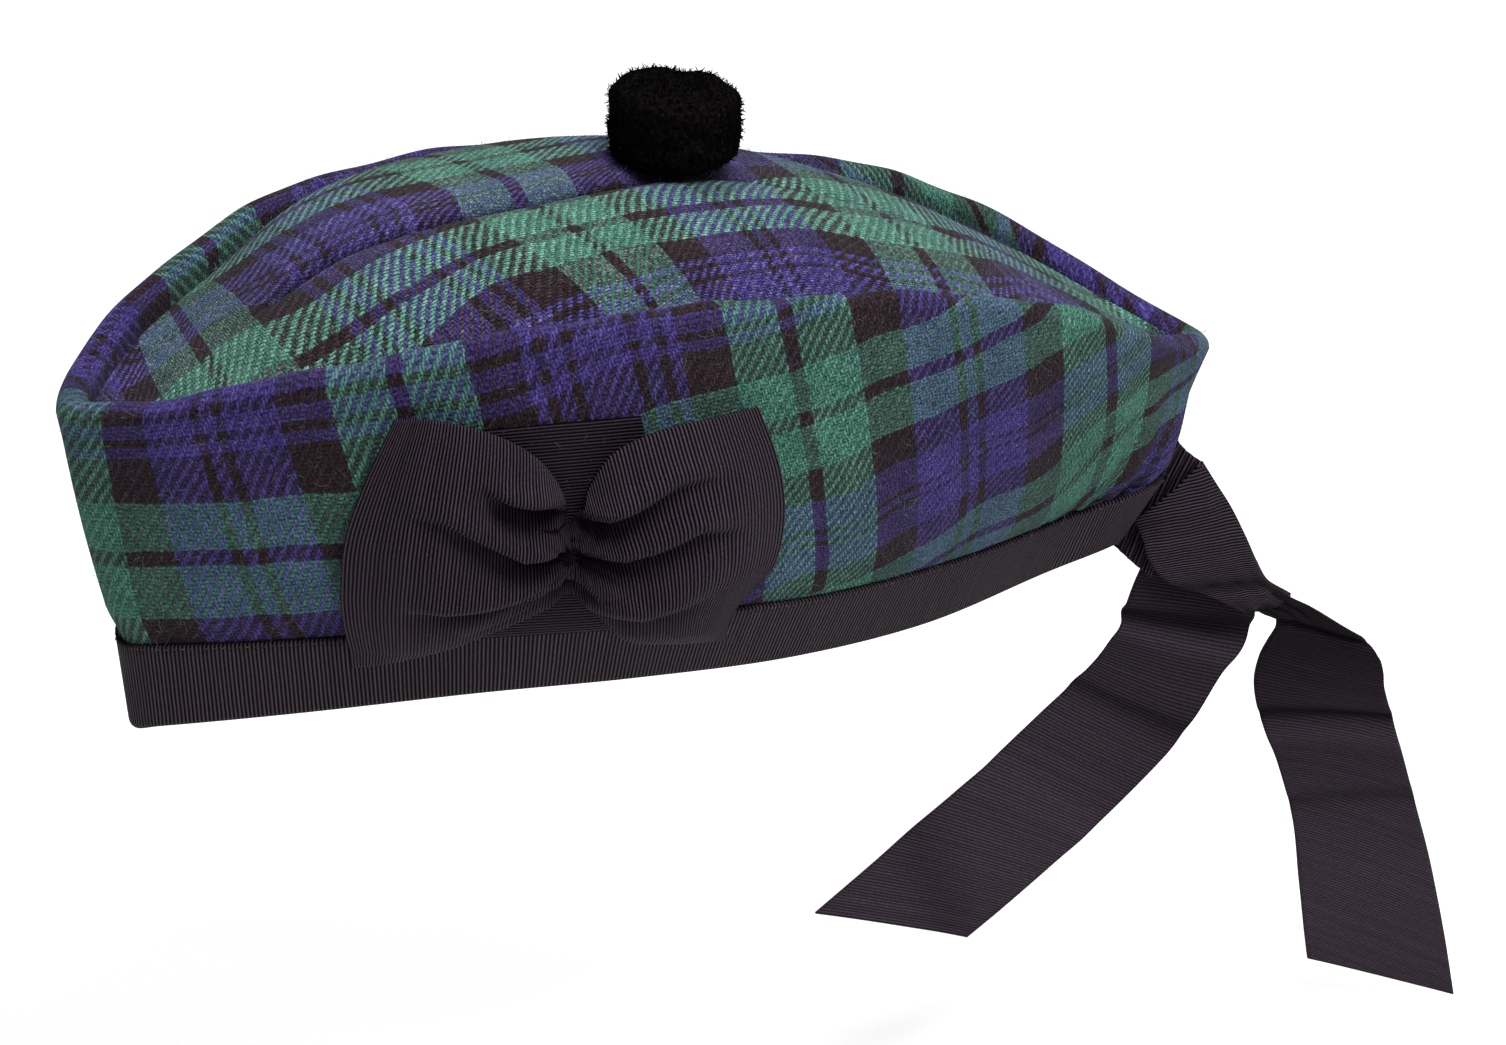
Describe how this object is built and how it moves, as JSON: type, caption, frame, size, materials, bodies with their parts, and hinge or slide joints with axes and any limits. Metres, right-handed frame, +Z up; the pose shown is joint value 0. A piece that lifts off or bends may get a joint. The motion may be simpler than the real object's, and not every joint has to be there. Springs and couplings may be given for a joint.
{
  "type": "glengarry cap",
  "caption": "Boat-shaped tartan cloth cap with a sunk crown, a headband, a pile bobble, a pinched ribbon bow on its left side and two ribbon tails at the back.",
  "frame": {"origin": "middle of the head opening, level with the lower front corner of the headband", "axes": "-X to the front of the cap, +X to its back, -Y to the wearer's left side, which has the bow, +Z up"},
  "size_m": [0.3864, 0.1385, 0.3098],
  "materials": {
    "tartan_wool": "matt twill wool in a dark green, blue and black check",
    "band_cloth": "matt black ribbed cloth",
    "black_pile": "short dense pile",
    "grosgrain": "matt black ribbed ribbon"
  },
  "bodies": {
    "root": {"side_wall": "tartan_wool", "crown": "tartan_wool", "headband": "band_cloth", "toorie": "black_pile", "bow_backing": "grosgrain", "bow": "grosgrain", "ribbon_root": "grosgrain", "ribbon_knot": "grosgrain", "ribbon_tail_front": "grosgrain", "ribbon_tail_rear": "grosgrain"}
  },
  "joints": []
}
